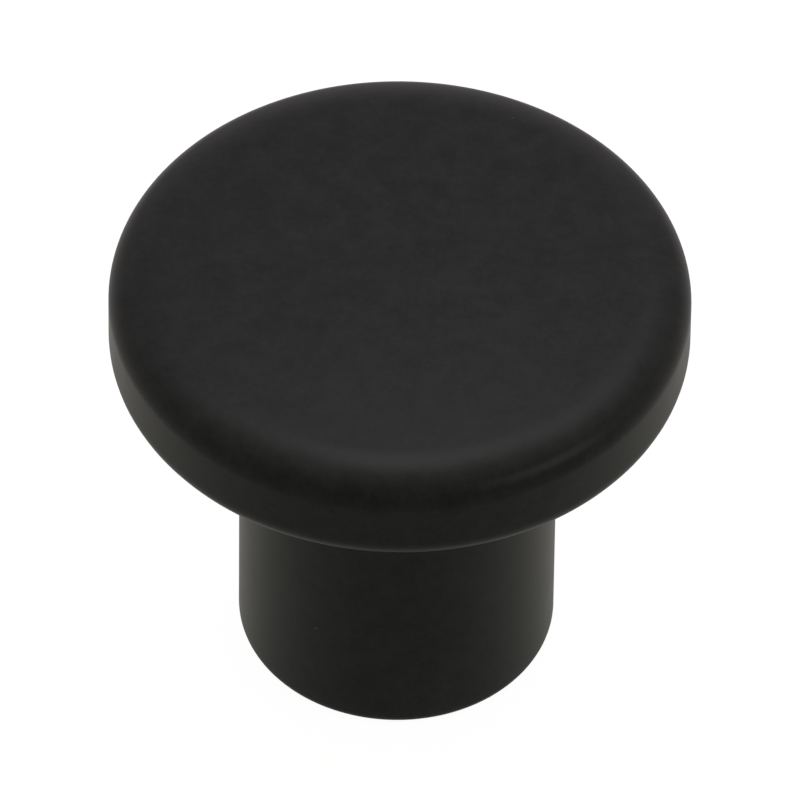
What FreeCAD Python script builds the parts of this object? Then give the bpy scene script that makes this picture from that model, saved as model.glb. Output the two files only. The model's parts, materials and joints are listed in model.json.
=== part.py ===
import FreeCAD, Part
import math
import os

from FreeCAD import Vector

# Cabinet knob, one solid piece of metal painted black. A round, gently crowned head with soft edges
# stands on a straight round stem. The stem's flat end sits on a drawer front or door, and a screw
# from behind goes into a tapped blind hole in it.
# Millimetres. The origin is the centre of the stem's flat end, and +Z runs along the screw's axis
# towards the head.

# Head: a wide crown, a shoulder that rolls down from it to the steepness given, and a short wall
# between two tight edges
head_diameter = 32.0
head_thickness = 6.4
crown_radius = 185.0
shoulder_radius = 6.0
shoulder_steepness = 25.0
top_edge_radius = 1.5
under_edge_radius = 1.5

# Stem
knob_height = 27.7
stem_diameter = 17.6
root_radius = 0.6
base_edge_radius = 0.8

# Screw hole for an M4 screw: the drill goes deeper than the thread, to leave room for the tap's lead
tap_drill_diameter = 3.3
thread_depth = 10.0
tap_lead_depth = 2.0
drill_point_angle = 118.0
countersink_diameter = 4.6
countersink_angle = 90.0

head_radius = head_diameter / 2
stem_radius = stem_diameter / 2
underside_height = knob_height - head_thickness
drill_radius = tap_drill_diameter / 2
drill_depth = thread_depth + tap_lead_depth

AXIS_FOOT = Vector(0, 0, 0)
UP = Vector(0, 0, 1)
FULL_TURN = 360.0

# Directions in the half section, in degrees from the way out from the axis
OUTWARD = 0.0
UPWARD = 90.0
INWARD = 180.0
DOWNWARD = -90.0


def at(radius, height):
    """A point of the half section, in the XZ plane."""
    return Vector(radius, 0, height)


def towards(direction, distance):
    """The step of that length in a direction of the half section."""
    angle = math.radians(direction)
    return at(distance * math.cos(angle), distance * math.sin(angle))


def arc(centre, radius, start, end):
    """The arc about a centre from one direction to another."""
    middle = (start + end) / 2
    return Part.Arc(*(centre + towards(way, radius) for way in (start, middle, end))).toShape()


def line(start, end):
    """A straight edge between two points."""
    return Part.LineSegment(start, end).toShape()


def closed_outline(*curves):
    """The curves in order, joined into one closed wire by a straight edge wherever two don't meet."""
    edges = []
    for curve, following in zip(curves, [*curves[1:], curves[0]]):
        edges.append(curve)
        end = curve.lastVertex().Point
        start = following.firstVertex().Point
        if not end.isEqual(start, Part.Precision.confusion()):
            edges.append(line(end, start))
    return Part.Wire(edges)


def turned(outline):
    """The solid that a closed half section makes when it is turned about the knob's axis."""
    return Part.Face(outline).revolve(AXIS_FOOT, UP, FULL_TURN)


def rounded_top():
    """The arcs over the head from its middle to its wall, each tangent to the next."""
    steepest = UPWARD - shoulder_steepness
    edge_out = head_radius - top_edge_radius
    shoulder_out = edge_out - towards(steepest, shoulder_radius - top_edge_radius).x
    meeting = math.degrees(math.acos(shoulder_out / (crown_radius - shoulder_radius)))
    crown_centre = at(0, knob_height - crown_radius)
    shoulder_centre = crown_centre + towards(meeting, crown_radius - shoulder_radius)
    edge_centre = shoulder_centre + towards(steepest, shoulder_radius - top_edge_radius)
    crown = arc(crown_centre, crown_radius, UPWARD, meeting)
    shoulder = arc(shoulder_centre, shoulder_radius, meeting, steepest)
    top_edge = arc(edge_centre, top_edge_radius, steepest, OUTWARD)
    return crown, shoulder, top_edge


def blank():
    """Head and stem in one piece, with every edge rounded and no hole."""
    under_centre = at(head_radius - under_edge_radius, underside_height + under_edge_radius)
    under_edge = arc(under_centre, under_edge_radius, OUTWARD, DOWNWARD)
    root_centre = at(stem_radius + root_radius, underside_height - root_radius)
    root = arc(root_centre, root_radius, UPWARD, INWARD)
    base_centre = at(stem_radius - base_edge_radius, base_edge_radius)
    base_edge = arc(base_centre, base_edge_radius, OUTWARD, DOWNWARD)
    base = line(base_edge.lastVertex().Point, AXIS_FOOT)
    return turned(closed_outline(*rounded_top(), under_edge, root, base_edge, base))


def screw_hole():
    """What the drill and the countersink take away: a blind hole with a pointed end and a wide mouth."""
    mouth_radius = countersink_diameter / 2
    mouth_depth = (mouth_radius - drill_radius) / math.tan(math.radians(countersink_angle / 2))
    point_length = drill_radius / math.tan(math.radians(drill_point_angle / 2))
    mouth = at(mouth_radius, 0)
    wall_foot = at(drill_radius, mouth_depth)
    wall_end = at(drill_radius, drill_depth)
    point = at(0, drill_depth + point_length)
    return turned(Part.makePolygon([AXIS_FOOT, mouth, wall_foot, wall_end, point, AXIS_FOOT]))


def knob():
    """The finished knob, one solid."""
    return blank().cut(screw_hole())


os.makedirs("parts", exist_ok=True)
knob().exportStep("parts/knob.step")
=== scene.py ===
import json
import math
from collections import namedtuple

import bmesh
import bpy
from bpy.props import FloatProperty, FloatVectorProperty, IntProperty, PointerProperty
from bpy.types import Operator, Panel, PropertyGroup
from mathutils import Color, Matrix, Vector


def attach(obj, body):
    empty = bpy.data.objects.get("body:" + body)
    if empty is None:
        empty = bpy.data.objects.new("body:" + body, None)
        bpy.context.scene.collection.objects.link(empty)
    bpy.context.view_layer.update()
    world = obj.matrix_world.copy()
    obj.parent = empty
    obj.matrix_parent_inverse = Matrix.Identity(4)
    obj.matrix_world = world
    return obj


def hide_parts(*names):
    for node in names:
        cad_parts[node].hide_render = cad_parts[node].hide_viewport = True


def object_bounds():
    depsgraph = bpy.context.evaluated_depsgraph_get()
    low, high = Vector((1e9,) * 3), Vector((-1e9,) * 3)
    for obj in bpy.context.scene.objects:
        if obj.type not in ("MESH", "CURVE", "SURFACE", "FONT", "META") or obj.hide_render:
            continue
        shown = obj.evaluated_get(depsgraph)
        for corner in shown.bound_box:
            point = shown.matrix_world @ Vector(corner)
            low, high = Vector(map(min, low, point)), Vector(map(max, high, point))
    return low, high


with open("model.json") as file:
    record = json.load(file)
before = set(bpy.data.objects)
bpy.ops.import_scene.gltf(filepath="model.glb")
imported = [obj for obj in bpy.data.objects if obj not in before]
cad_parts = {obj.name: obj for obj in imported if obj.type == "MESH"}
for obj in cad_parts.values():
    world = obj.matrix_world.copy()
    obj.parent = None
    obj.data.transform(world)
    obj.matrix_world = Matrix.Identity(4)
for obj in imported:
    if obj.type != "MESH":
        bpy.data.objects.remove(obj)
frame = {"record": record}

bl_info = {
    "name": "Cabinet Knob",
    "version": (1, 0, 0),
    "blender": (4, 5, 0),
    "location": "3D View > Sidebar > Knob",
    "description": "Turns a matt black cabinet knob with a tapped screw hole and stands it in a pale studio",
    "category": "Add Mesh",
}

MM = 0.001
CAD_LOW, CAD_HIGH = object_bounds()
CAD_SIZE = CAD_HIGH - CAD_LOW
SCREW_HOLE = next(mount for mount in frame["record"]["mounts"] if mount["name"] == "screw_hole")

ORIGIN = Vector((0, 0, 0))
UP = Vector((0, 0, 1))
BACKWARD = Vector((0, 1, 0))
QUARTER_TURN = 90
WHITE = Color((1, 1, 1))

# How many straight steps each stretch of the knob's half section is drawn in
BORE_STEPS = 4
MOUTH_STEPS = 2
BASE_STEPS = 12
BASE_EDGE_STEPS = 10
STEM_STEPS = 30
ROOT_STEPS = 12
UNDERSIDE_STEPS = 12
UNDER_EDGE_STEPS = 10
WALL_STEPS = 8
TOP_EDGE_STEPS = 20
SHOULDER_STEPS = 18
CROWN_STEPS = 26

# Points of the turned knob nearer than this are one point, as on its axis
MERGE_DISTANCE = 0.001 * MM

# Nearly all of the paint's cloudy noise lies between these two values
LOW_CLOUD = 0.3
HIGH_CLOUD = 0.7


def length(name, description, default):
    """A property that holds a length in metres."""
    return FloatProperty(
        name=name, description=description, default=default, min=0.0, precision=5, subtype="DISTANCE",
        unit="LENGTH",
    )


def angle(name, description, degrees):
    """A property that holds an angle, with its default given in degrees."""
    return FloatProperty(
        name=name, description=description, default=math.radians(degrees), subtype="ANGLE", unit="ROTATION",
    )


def amount(name, description, default):
    """A property that holds a plain number, which is never negative."""
    return FloatProperty(name=name, description=description, default=default, min=0.0, precision=4)


def count(name, description, default):
    """A property that holds a whole number of steps."""
    return IntProperty(name=name, description=description, default=default, min=8)


def colour(name, description, default):
    """A property that holds a colour."""
    return FloatVectorProperty(
        name=name, description=description, default=default, min=0.0, max=1.0, size=3, subtype="COLOR",
    )


class KnobSizes(PropertyGroup):
    """Sizes of the turned knob."""

    head_diameter: length("Head diameter", "Width of the round head", CAD_SIZE.x)
    head_thickness: length("Head thickness", "From the flat underside to the top of the crown", 6.4 * MM)
    crown_radius: length("Crown radius", "Radius of the wide, nearly flat crown", 185 * MM)
    shoulder_radius: length("Shoulder radius", "Radius of the roll between crown and top edge", 6 * MM)
    shoulder_steepness: angle("Shoulder steepness", "Slope at which the shoulder gives way to the edge", 25)
    top_edge_radius: length("Top edge radius", "Radius that rounds the shoulder into the wall", 1.5 * MM)
    under_edge_radius: length("Lower edge radius", "Radius of the head's lower edge", 1.5 * MM)
    height: length("Height", "From the stem's flat end to the top of the crown", CAD_SIZE.z)
    stem_diameter: length("Stem diameter", "Width of the round stem", 17.6 * MM)
    root_radius: length("Root radius", "Radius in the corner between head and stem", 0.6 * MM)
    base_edge_radius: length("Base edge radius", "Radius of the edge round the flat end", 0.8 * MM)
    steps_around: count("Steps round", "Flat faces in one full turn of the knob", 192)


class HoleSizes(PropertyGroup):
    """Sizes of the blind screw hole and of its thread."""

    bore_diameter: length(
        "Bore diameter", "Width of the drilled hole before it is tapped", 2 * SCREW_HOLE["dims"]["r_mm"] * MM,
    )
    drill_depth: length("Drill depth", "From the flat end to where the drill's point begins", 12 * MM)
    drill_point: angle("Drill point", "Full angle of the drill's point", 118)
    mouth_diameter: length("Mouth diameter", "Width of the countersink at the flat end", 4.6 * MM)
    mouth_angle: angle("Mouth angle", "Full angle of the countersink", 90)
    thread_diameter: length("Thread diameter", "Width of the screw over its thread", 4 * MM)
    thread_pitch: length("Thread pitch", "From one turn of the thread to the next", 0.7 * MM)
    thread_depth: length("Thread depth", "How deep the thread runs", 10 * MM)
    thread_angle: angle("Thread angle", "Angle between the two flanks of the thread", 60)
    steps_around: count("Steps round", "Flat faces in one turn of the thread", 48)


class PaintFinish(PropertyGroup):
    """Colours and surface of the black paint."""

    deep_colour: colour("Deep colour", "Darker tone of the paint", (0.0010, 0.0010, 0.0010))
    pale_colour: colour("Pale colour", "Lighter tone of the paint", (0.0165, 0.0165, 0.0165))
    dust_colour: colour("Dust colour", "Colour of the few dust specks", (0.060, 0.061, 0.057))
    least_roughness: amount("Least roughness", "Roughness where the paint is smoothest", 0.31)
    most_roughness: amount("Most roughness", "Roughness where the paint is dullest", 0.37)
    gloss_index: amount("Gloss index", "Index of refraction, which sets how much the paint shines", 1.38)
    mottle_size: length("Mottle size", "Width of the soft cloudy patches in the paint", 1.5 * MM)
    ripple_size: length("Ripple size", "Width of the shallow ripples that the spray leaves", 0.45 * MM)
    ripple_height: length("Ripple height", "Height of those ripples", 0.002 * MM)
    grain_size: length("Grain size", "Width of the paint's fine grain", 0.09 * MM)
    grain_height: length("Grain height", "Height of that grain", 0.001 * MM)
    dust_spacing: length("Dust spacing", "Usual space between two motes of dust", 4.0 * MM)
    dust_radius: length("Dust radius", "Radius of a mote of dust", 0.12 * MM)


class StudioSettings(PropertyGroup):
    """Camera, floor and light."""

    elevation: angle("Camera elevation", "How far the camera stands above the head's level", 46.682)
    distance: length("Camera distance", "From the camera to the point on the axis that it circles", 914 * MM)
    aim_height: length("Aim height", "Height of that point on the knob's axis", 27 * MM)
    tilt: angle("Camera tilt", "How far the camera looks below that point", 0.4195)
    pan: angle("Camera pan", "How far the camera looks to the right of that point", 0.0067)
    roll: angle("Camera roll", "Turn of the camera about its own line of sight", 0.725)
    lens: FloatProperty(
        name="Lens", description="Focal length of the camera's lens", default=750.6, min=1.0, unit="CAMERA",
    )
    floor_size: length("Floor size", "Width of the square floor", 6.0)
    floor_colour: colour(
        "Floor colour", "Share of the light on it that the floor sends to the camera", (0.15, 0.15, 0.15),
    )
    floor_glow: amount("Floor glow", "What the floor adds to that for the camera", 0.96)
    # Painted floor glow: light that the floor sends to the knob, standing in for the light it bounces
    front_glow: colour("Front glow", "Light from the floor in front of the knob", (0.271, 0.288, 0.251))
    back_glow: colour("Back glow", "Light from the floor behind the knob", (0.602, 0.570, 0.543))
    # Painted contact shadow round the stem: the floor's glow to the knob stays dark out to this radius and
    # fades in over the width below
    contact_shadow_radius: length("Contact radius", "How far from the axis the floor stays dark", 8.0 * MM)
    contact_shadow_width: length("Contact width", "Over how much further out its glow sets in", 0.5 * MM)
    front_room: colour("Front room", "Light from the room on the camera's side", (0.237, 0.259, 0.197))
    back_room: colour("Back room", "Light from the room beyond the knob", (0.541, 0.509, 0.530))
    backdrop_light: amount("Backdrop light", "Brightness of the backdrop as the camera sees it", 1.0)
    light_distance: length("Light distance", "From the knob to the middle of each soft light", 900 * MM)


SoftLight = namedtuple("SoftLight", "name azimuth elevation width watts")

# Azimuth 0 is on the camera's side, 90 is on its right and 180 is beyond the knob. Degrees, metres, watts.
SOFT_LIGHTS = (
    SoftLight("high_light", 180, 75, 0.22, 0.321),
    SoftLight("middle_light", 180, 62, 0.22, 0.164),
    SoftLight("right_light", 140, 62, 0.22, 0.243),
    SoftLight("left_light", 220, 62, 0.22, 0.129),
    SoftLight("low_right_light", 150, 47, 0.22, 0.086),
    SoftLight("side_light", 60, 35, 0.40, 0.379),
)


def out_and_up(degrees):
    """The unit step in the half section that points that many degrees up from straight out."""
    turn = math.radians(degrees)
    return Vector((math.cos(turn), 0, math.sin(turn)))


def linked_object(name, mesh):
    """A new object at the origin that shows the mesh."""
    piece = bpy.data.objects.new(name, mesh)
    bpy.context.scene.collection.objects.link(piece)
    return piece


def object_from(name, drawn):
    """A new object at the origin made from a bmesh, which is freed."""
    mesh = bpy.data.meshes.new(name)
    drawn.to_mesh(mesh)
    drawn.free()
    return linked_object(name, mesh)


class Section:
    """Draws half of a turned body's section as a chain of vertices, then turns it into a body."""

    def __init__(self, start):
        self.mesh = bmesh.new()
        self.pen = self.mesh.verts.new(start)

    def line(self, end, steps=1):
        """A straight stretch to a point, in even steps."""
        step = (Vector(end) - self.pen.co) / steps
        for _ in range(steps):
            drawn = bmesh.ops.extrude_vert_indiv(self.mesh, verts=[self.pen])
            self.pen = drawn["verts"][0]
            bmesh.ops.translate(self.mesh, vec=step, verts=[self.pen])

    def arc(self, centre, degrees, steps):
        """A stretch round a centre, from outward towards upward for a positive angle."""
        drawn = bmesh.ops.spin(
            self.mesh, geom=[self.pen], cent=centre, axis=BACKWARD, angle=-math.radians(degrees), steps=steps,
        )
        self.pen = next(item for item in drawn["geom_last"] if isinstance(item, bmesh.types.BMVert))

    def turned(self, steps):
        """The closed body that the section makes in one full turn about the knob's axis."""
        body = self.mesh
        bmesh.ops.spin(
            body, geom=body.verts[:] + body.edges[:], cent=ORIGIN, axis=UP, angle=math.tau, steps=steps,
            use_merge=True,
        )
        bmesh.ops.remove_doubles(body, verts=body.verts, dist=MERGE_DISTANCE)
        bmesh.ops.recalc_face_normals(body, faces=body.faces)
        return body


def draw_hole(section, hole):
    """The drilled bore from its point down, and the countersink at its mouth."""
    bore_radius = hole.bore_diameter / 2
    mouth_radius = hole.mouth_diameter / 2
    mouth_depth = (mouth_radius - bore_radius) / math.tan(hole.mouth_angle / 2)
    section.line((bore_radius, 0, hole.drill_depth), BORE_STEPS)
    section.line((bore_radius, 0, mouth_depth))
    section.line((mouth_radius, 0, 0), MOUTH_STEPS)


def draw_stem(section, sizes):
    """The base, the straight stem and the head's underside, with the radii between them."""
    stem_radius = sizes.stem_diameter / 2
    underside = sizes.height - sizes.head_thickness
    base_centre = Vector((stem_radius - sizes.base_edge_radius, 0, sizes.base_edge_radius))
    root_centre = Vector((stem_radius + sizes.root_radius, 0, underside - sizes.root_radius))
    rim_foot = Vector((sizes.head_diameter / 2 - sizes.under_edge_radius, 0, underside))
    section.line(base_centre - UP * sizes.base_edge_radius, BASE_STEPS)
    section.arc(base_centre, QUARTER_TURN, BASE_EDGE_STEPS)
    section.line((stem_radius, 0, root_centre.z), STEM_STEPS)
    section.arc(root_centre, -QUARTER_TURN, ROOT_STEPS)
    section.line(rim_foot, UNDERSIDE_STEPS)
    section.arc(rim_foot + UP * sizes.under_edge_radius, QUARTER_TURN, UNDER_EDGE_STEPS)


def draw_head(section, sizes):
    """The wall of the head, its top edge, shoulder and crown, each tangent to the next."""
    head_radius = sizes.head_diameter / 2
    steepest = QUARTER_TURN - math.degrees(sizes.shoulder_steepness)
    edge_to_shoulder = out_and_up(steepest) * (sizes.shoulder_radius - sizes.top_edge_radius)
    crown_to_shoulder = sizes.crown_radius - sizes.shoulder_radius
    shoulder_out = head_radius - sizes.top_edge_radius - edge_to_shoulder.x
    meeting = math.degrees(math.acos(shoulder_out / crown_to_shoulder))
    crown_centre = UP * (sizes.height - sizes.crown_radius)
    shoulder_centre = crown_centre + out_and_up(meeting) * crown_to_shoulder
    edge_centre = shoulder_centre + edge_to_shoulder
    section.line((head_radius, 0, edge_centre.z), WALL_STEPS)
    section.arc(edge_centre, steepest, TOP_EDGE_STEPS)
    section.arc(shoulder_centre, meeting - steepest, SHOULDER_STEPS)
    section.arc(crown_centre, QUARTER_TURN - meeting, CROWN_STEPS)


def rounded_body(sizes, hole):
    """The knob with its edges rounded and its hole drilled, but not tapped yet."""
    point_length = hole.bore_diameter / 2 / math.tan(hole.drill_point / 2)
    section = Section((0, 0, hole.drill_depth + point_length))
    draw_hole(section, hole)
    draw_stem(section, sizes)
    draw_head(section, sizes)
    return section.turned(sizes.steps_around)


def thread_coil(hole):
    """A coil with the section of the thread's groove, to cut the thread out of the bore's wall."""
    pitch = hole.thread_pitch
    overcut = 0.1 * MM
    groove_floor = pitch / 8
    outer = hole.thread_diameter / 2
    inner = hole.bore_diameter / 2 - overcut
    outer_half = groove_floor / 2
    inner_half = outer_half + (outer - inner) * math.tan(hole.thread_angle / 2)
    # One turn below the flat end, so that the groove is whole where it comes out at the mouth
    start = -pitch

    coil = bmesh.new()
    corners = (
        (inner, start - inner_half),
        (outer, start - outer_half),
        (outer, start + outer_half),
        (inner, start + inner_half),
    )
    groove = coil.faces.new([coil.verts.new((out, 0, up)) for out, up in corners])
    turns = (hole.thread_depth - start) / pitch
    steps = round(turns * hole.steps_around)
    bmesh.ops.spin(
        coil, geom=[*groove.verts, *groove.edges, groove], cent=ORIGIN, axis=UP, angle=turns * math.tau,
        dvec=UP * (hole.thread_depth - start) / steps, steps=steps,
    )
    bmesh.ops.recalc_face_normals(coil, faces=coil.faces)
    return coil


def cut_away(piece, cutter):
    """Takes the cutter's form out of the piece, and removes the cutter."""
    cut = piece.modifiers.new("cut", "BOOLEAN")
    cut.operation = "DIFFERENCE"
    cut.solver = "EXACT"
    cut.object = cutter
    shown = piece.evaluated_get(bpy.context.evaluated_depsgraph_get())
    whole = piece.data
    piece.data = bpy.data.meshes.new_from_object(shown)
    piece.modifiers.clear()
    bpy.data.meshes.remove(whole)
    bpy.data.meshes.remove(cutter.data)
    piece.data.name = piece.name


def smooth_shaded(mesh, sharpest=math.radians(30)):
    """Shades the faces smoothly, but keeps edges sharper than the angle."""
    mesh.shade_smooth()
    mesh.set_sharp_from_angle(angle=sharpest)


class Nodes:
    """Adds nodes to a material or world and links them."""

    def __init__(self, owner):
        owner.use_nodes = True
        self.tree = owner.node_tree
        self.tree.nodes.clear()

    def add(self, kind, *inputs, settings=None, **named_inputs):
        """A node's first output. Inputs come in order or by name, as values or as other nodes' outputs."""
        node = self.tree.nodes.new(kind)
        for name, value in (settings or {}).items():
            setattr(node, name, value)
        shown = [socket for socket in node.inputs if socket.enabled]
        for socket, value in zip(shown, inputs):
            self.set(socket, value)
        by_name = {socket.name: socket for socket in reversed(shown)}
        for name, value in named_inputs.items():
            self.set(by_name[name.replace("_", " ")], value)
        return next((socket for socket in node.outputs if socket.enabled), None)

    def set(self, socket, value):
        """Links an output into the socket, or sets its value."""
        if isinstance(value, bpy.types.NodeSocket):
            self.tree.links.new(value, socket)
        elif isinstance(value, Color):
            socket.default_value = (*value, 1.0)
        else:
            socket.default_value = value

    def mix(self, share, first, second):
        """The first colour where the share is nothing, the second where it is one, and a mix between."""
        return self.add("ShaderNodeMix", settings={"data_type": "RGBA"}, Factor=share, A=first, B=second)

    def noise(self, place, size, **named_inputs):
        """Soft noise in patches about as wide as the size."""
        return self.add("ShaderNodeTexNoise", Vector=place, Scale=1 / size, **named_inputs)

    def texture_place(self):
        """The place on the piece in its own coordinates."""
        return self.tree.nodes.new("ShaderNodeTexCoord").outputs["Object"]

    def view_direction(self):
        """The direction out into the room, in a world."""
        return self.tree.nodes.new("ShaderNodeTexCoord").outputs["Generated"]

    def camera_ray(self):
        """One for what the camera sees straight, and nothing for what lights or is reflected."""
        return self.tree.nodes.new("ShaderNodeLightPath").outputs["Is Camera Ray"]


def black_paint(finish):
    """Matt black paint, faintly cloudy down to a fine grain, with shallow ripples and a few motes of dust."""
    paint = bpy.data.materials.new("matt_black_paint")
    nodes = Nodes(paint)
    place = nodes.texture_place()

    clouds = nodes.noise(place, finish.mottle_size, Detail=5.0, Roughness=0.9)
    paleness = nodes.add("ShaderNodeMapRange", Value=clouds, From_Min=LOW_CLOUD, From_Max=HIGH_CLOUD)
    tone = nodes.mix(paleness, finish.deep_colour, finish.pale_colour)
    dulling = nodes.add(
        "ShaderNodeMapRange", Value=paleness, To_Min=finish.least_roughness, To_Max=finish.most_roughness,
    )

    nearest_mote = nodes.add("ShaderNodeTexVoronoi", Vector=place, Scale=1 / finish.dust_spacing)
    mote_edge = finish.dust_radius / finish.dust_spacing
    mote_middle = mote_edge / 2
    clean = nodes.add("ShaderNodeMapRange", Value=nearest_mote, From_Min=mote_middle, From_Max=mote_edge)
    dusty = nodes.mix(clean, finish.dust_colour, tone)

    ripples = nodes.noise(place, finish.ripple_size, Detail=1.0)
    grain = nodes.noise(place, finish.grain_size, Detail=2.0)
    rippled = nodes.add("ShaderNodeBump", Height=ripples, Distance=finish.ripple_height, Strength=1.0)
    grained = nodes.add(
        "ShaderNodeBump", Height=grain, Distance=finish.grain_height, Strength=1.0, Normal=rippled,
    )

    shader = nodes.add(
        "ShaderNodeBsdfPrincipled", Base_Color=dusty, Roughness=dulling, IOR=finish.gloss_index,
        Normal=grained,
    )
    nodes.add("ShaderNodeOutputMaterial", Surface=shader)
    return paint


def front_to_back(nodes, place, front, back):
    """A colour that runs from the front one, on the camera's side of the knob, to the back one beyond it."""
    outward = nodes.add("ShaderNodeVectorMath", place, settings={"operation": "NORMALIZE"})
    behind = nodes.add("ShaderNodeVectorMath", outward, BACKWARD, settings={"operation": "DOT_PRODUCT"})
    share = nodes.add("ShaderNodeMapRange", Value=behind, From_Min=-1.0, From_Max=1.0)
    return nodes.mix(share, front, back)


def floor_glow(nodes, studio):
    """The floor as the knob sees it: a painted glow, dim in front and brighter behind, that stands in for the
    light the floor bounces, with a painted contact shadow where the knob stands.
    """
    place = nodes.texture_place()
    glow = front_to_back(nodes, place, studio.front_glow, studio.back_glow)
    radius = nodes.add("ShaderNodeVectorMath", place, settings={"operation": "LENGTH"})
    # Painted contact shadow: the glow fades out towards the stem
    clear = nodes.add(
        "ShaderNodeMapRange", Value=radius, From_Min=studio.contact_shadow_radius,
        From_Max=studio.contact_shadow_radius + studio.contact_shadow_width,
    )
    return nodes.add("ShaderNodeEmission", Color=glow, Strength=clear)


def pale_floor(studio):
    """A pale floor that is white to the camera, and dimmer to the knob, which sees its painted glow and
    painted contact shadow.
    """
    floor = bpy.data.materials.new("pale_floor")
    nodes = Nodes(floor)
    lit = nodes.add("ShaderNodeBsdfDiffuse", Color=studio.floor_colour)
    bright = nodes.add("ShaderNodeEmission", Strength=studio.floor_glow)
    seen = nodes.add("ShaderNodeAddShader", lit, bright)
    either = nodes.add("ShaderNodeMixShader", nodes.camera_ray(), floor_glow(nodes, studio), seen)
    nodes.add("ShaderNodeOutputMaterial", Surface=either)
    return floor


def soft_room(studio):
    """Soft light from all round, dim in front and brighter behind, with a pale backdrop for the camera."""
    room = bpy.data.worlds.new("soft_room")
    nodes = Nodes(room)
    walls = front_to_back(nodes, nodes.view_direction(), studio.front_room, studio.back_room)
    light = nodes.add("ShaderNodeBackground", Color=walls, Strength=1.0)
    backdrop = nodes.add("ShaderNodeBackground", Color=WHITE, Strength=studio.backdrop_light)
    either = nodes.add("ShaderNodeMixShader", nodes.camera_ray(), light, backdrop)
    nodes.add("ShaderNodeOutputWorld", Surface=either)
    return room


def direction(azimuth, elevation):
    """The unit step from the knob towards a place round it, 0 azimuth being towards the camera."""
    out = math.cos(elevation)
    return Vector((math.sin(azimuth) * out, -math.cos(azimuth) * out, math.sin(elevation)))


def add_light(light, aim, distance):
    """A soft square lamp that faces the knob and that the camera doesn't see."""
    way = direction(math.radians(light.azimuth), math.radians(light.elevation))
    lamp = bpy.data.lights.new(light.name, "AREA")
    lamp.shape = "SQUARE"
    lamp.size = light.width
    lamp.energy = light.watts
    stand = bpy.data.objects.new(light.name, lamp)
    stand.location = aim + way * distance
    stand.rotation_euler = way.to_track_quat("Z", "Y").to_euler()
    stand.visible_camera = False
    bpy.context.scene.collection.objects.link(stand)


def add_camera(studio):
    """The camera, at the photograph's angle."""
    aim = UP * studio.aim_height
    place = aim + direction(0, studio.elevation) * studio.distance
    ahead = -direction(-studio.pan, studio.elevation + studio.tilt)
    view = ahead.to_track_quat("-Z", "Y").to_matrix() @ Matrix.Rotation(studio.roll, 3, "Z")
    camera = bpy.data.cameras.new("camera")
    camera.lens = studio.lens
    stand = bpy.data.objects.new("camera", camera)
    stand.matrix_world = Matrix.LocRotScale(place, view, None)
    scene = bpy.context.scene
    scene.collection.objects.link(stand)
    scene.camera = stand


class KNOB_OT_turn(Operator):
    """Turn the knob, drill and tap its base and paint it black"""

    bl_idname = "knob.turn"
    bl_label = "Turn Knob"

    def execute(self, context):
        scene = context.scene
        knob = object_from("turned_knob", rounded_body(scene.knob_sizes, scene.hole_sizes))
        cut_away(knob, object_from("thread_coil", thread_coil(scene.hole_sizes)))
        smooth_shaded(knob.data)
        knob.data.materials.append(black_paint(scene.paint_finish))
        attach(knob, "root")
        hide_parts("knob")
        return {"FINISHED"}


class KNOB_OT_set_studio(Operator):
    """Lay the pale floor and set up the soft lights and the camera"""

    bl_idname = "knob.set_studio"
    bl_label = "Set Up Studio"

    def execute(self, context):
        scene = context.scene
        studio = scene.studio_settings
        plane = bmesh.new()
        bmesh.ops.create_grid(plane, x_segments=1, y_segments=1, size=studio.floor_size / 2)
        floor = object_from("floor", plane)
        floor.data.materials.append(pale_floor(studio))
        aim = UP * studio.aim_height
        for light in SOFT_LIGHTS:
            add_light(light, aim, studio.light_distance)
        scene.world = soft_room(studio)
        scene.view_settings.view_transform = "Standard"
        add_camera(studio)
        return {"FINISHED"}


class KNOB_PT_sidebar(Panel):
    """The knob's tools and sizes in the 3D view's sidebar"""

    bl_label = "Cabinet Knob"
    bl_idname = "KNOB_PT_sidebar"
    bl_space_type = "VIEW_3D"
    bl_region_type = "UI"
    bl_category = "Knob"

    def draw(self, context):
        layout = self.layout
        for operator in OPERATORS:
            layout.operator(operator.bl_idname)
        for name, group in SETTINGS.items():
            box = layout.box()
            box.label(text=name.replace("_", " ").capitalize())
            for setting in group.__annotations__:
                box.prop(getattr(context.scene, name), setting)


SETTINGS = {
    "knob_sizes": KnobSizes,
    "hole_sizes": HoleSizes,
    "paint_finish": PaintFinish,
    "studio_settings": StudioSettings,
}
OPERATORS = (KNOB_OT_turn, KNOB_OT_set_studio)
CLASSES = (*SETTINGS.values(), *OPERATORS, KNOB_PT_sidebar)


def register():
    """Registers the classes, and hangs their settings on the scene."""
    for cls in CLASSES:
        bpy.utils.register_class(cls)
    for name, group in SETTINGS.items():
        setattr(bpy.types.Scene, name, PointerProperty(type=group))


def unregister():
    """Takes the settings and the classes away again."""
    for name in SETTINGS:
        delattr(bpy.types.Scene, name)
    for cls in reversed(CLASSES):
        bpy.utils.unregister_class(cls)


def main():
    """Makes the knob and its stage."""
    register()
    bpy.ops.knob.turn()
    bpy.ops.knob.set_studio()


if __name__ == "__main__":
    main()
